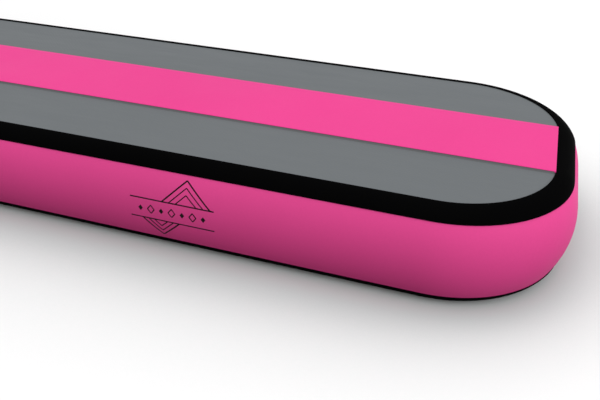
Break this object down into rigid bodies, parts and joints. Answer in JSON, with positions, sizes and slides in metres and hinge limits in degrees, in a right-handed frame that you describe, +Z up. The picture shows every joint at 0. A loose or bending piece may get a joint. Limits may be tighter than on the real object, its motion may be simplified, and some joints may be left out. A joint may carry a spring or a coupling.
{
  "type": "inflatable gymnastics air beam track mat",
  "caption": "Long narrow inflatable drop-stitch air track mat with rounded ends, a raised training stripe on its flat top, carry handles and a push-and-turn air valve.",
  "frame": {"origin": "centre of the underside, on the floor the mat rests on", "axes": "+X along the mat to the plain end (the valve is at -X), +Y across it to the far side, +Z up out of the flat top"},
  "size_m": [3.0105, 0.421, 0.1013],
  "materials": {
    "grey_skin": "PVC-coated drop-stitch fabric, satin grey",
    "grip_sheet": "diamond-textured non-slip sheet",
    "under_skin": "PVC-coated drop-stitch fabric",
    "yarn": "polyester spacer yarn",
    "pink_wall": "PVC-coated tarpaulin, smooth satin pink",
    "wall_liner": "PVC-coated inner ply",
    "edge_band": "PVC tape, satin black",
    "seam_tape": "PVC seam tape",
    "pink_stripe": "PVC-faced training stripe, satin pink",
    "valve_plastic": "moulded nylon",
    "valve_white": "moulded acetal",
    "valve_rubber": "soft seal rubber",
    "spring_steel": "drawn stainless wire",
    "webbing": "woven polyester webbing",
    "grip_foam": "fine-grained foam rubber"
  },
  "bodies": {
    "mat": {"top_skin": "grey_skin", "bottom_skin": "under_skin", "bottom_grip_sheet": "grip_sheet", "drop_stitch_yarns": "yarn", "sidewall": "pink_wall", "sidewall_liner": "wall_liner", "valve_end_wall": "pink_wall", "wall_joint_strips": "pink_wall", "valve_spider": "valve_white", "top_edge_band": "edge_band", "bottom_edge_band": "edge_band", "top_seam_tape": "seam_tape", "bottom_seam_tape": "seam_tape", "centre_stripe": "pink_stripe", "valve_patch": "edge_band", "valve_gasket": "valve_rubber", "valve_inner_washer": "valve_plastic", "valve_nut": "valve_plastic", "valve_body": "valve_plastic", "valve_spring": "spring_steel", "valve_tether_ring": "valve_rubber", "near_handle_patch": "edge_band", "near_handle_webbing_ends": "webbing", "near_handle_anchors": "edge_band", "far_handle_patch": "edge_band", "far_handle_webbing_ends": "webbing", "far_handle_anchors": "edge_band"},
    "valve_push": {"valve_spring_seat": "spring_steel"},
    "valve_plunger": {"valve_stem": "valve_white", "valve_poppet": "valve_white", "valve_poppet_seal": "valve_rubber"},
    "valve_cap": {"valve_cap": "valve_plastic", "valve_cap_gasket": "valve_rubber", "valve_cap_strap": "valve_rubber"},
    "near_handle": {"near_handle_loop": "webbing", "near_handle_grip": "grip_foam"},
    "far_handle": {"far_handle_loop": "webbing", "far_handle_grip": "grip_foam"}
  },
  "joints": [
    {"name": "valve_push", "type": "slide", "parent": "mat", "child": "valve_push", "axis": [1, 0, 0], "range_m": [0, 0.005], "stiffness_N_per_m": 600, "springref_m": -0.006, "deforming": ["valve_spring"]},
    {"name": "valve_turn", "type": "hinge", "parent": "valve_push", "child": "valve_plunger", "pos_m": [-1.5, 0, 0.05], "axis": [1, 0, 0], "range_deg": [0, 90]},
    {"name": "cap_flip", "type": "hinge", "parent": "mat", "child": "valve_cap", "pos_m": [-1.50295, 0.0315, 0.05], "axis": [0, 0, -1], "range_deg": [0, 120]},
    {"name": "near_handle_swing", "type": "hinge", "parent": "mat", "child": "near_handle", "pos_m": [0, -0.166, 0.05], "axis": [-1, 0, 0], "range_deg": [-30, 30], "stiffness_Nm_per_rad": 0.8},
    {"name": "far_handle_swing", "type": "hinge", "parent": "mat", "child": "far_handle", "pos_m": [0, 0.166, 0.05], "axis": [1, 0, 0], "range_deg": [-30, 30], "stiffness_Nm_per_rad": 0.8}
  ]
}
